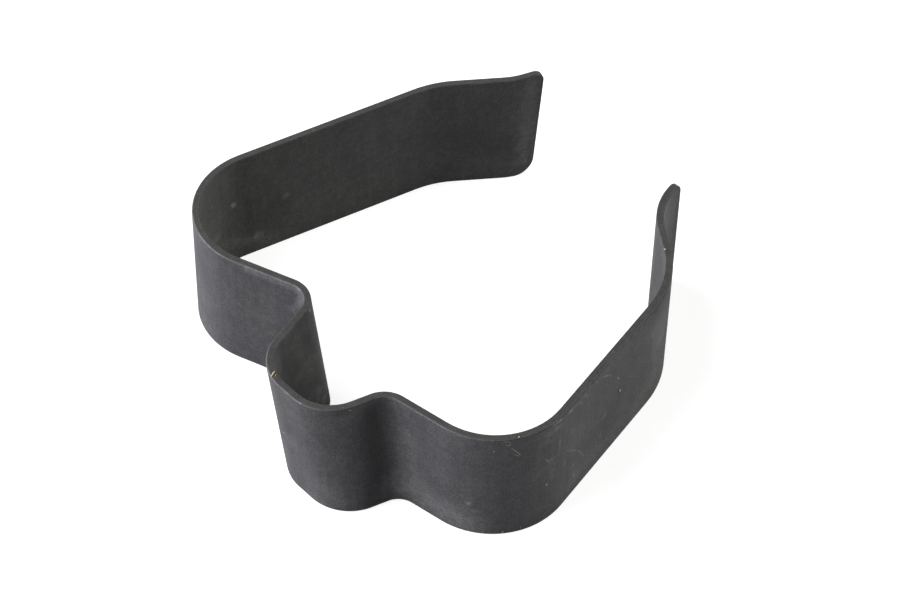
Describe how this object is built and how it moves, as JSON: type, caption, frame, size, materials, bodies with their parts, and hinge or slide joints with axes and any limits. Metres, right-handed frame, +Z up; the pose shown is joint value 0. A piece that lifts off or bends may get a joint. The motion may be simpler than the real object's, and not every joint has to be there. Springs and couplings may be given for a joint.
{
  "type": "wire clip",
  "caption": "Clip bent from a flat strip of dark spring steel: arms lean in to flared tips over an open mouth, round corners, and an outward hump between them that seats a wire.",
  "frame": {"origin": "middle of the hump's crown, on the strip's inner face at its lower edge; the clip stands on that edge at Z = 0", "axes": "+Z up across the strip's width, +Y from the hump to the open mouth between the tips, +X to the right arm"},
  "size_m": [0.0389, 0.04, 0.012],
  "materials": {
    "dark_steel": "satin"
  },
  "bodies": {
    "root": {"clip": "dark_steel"}
  },
  "joints": []
}
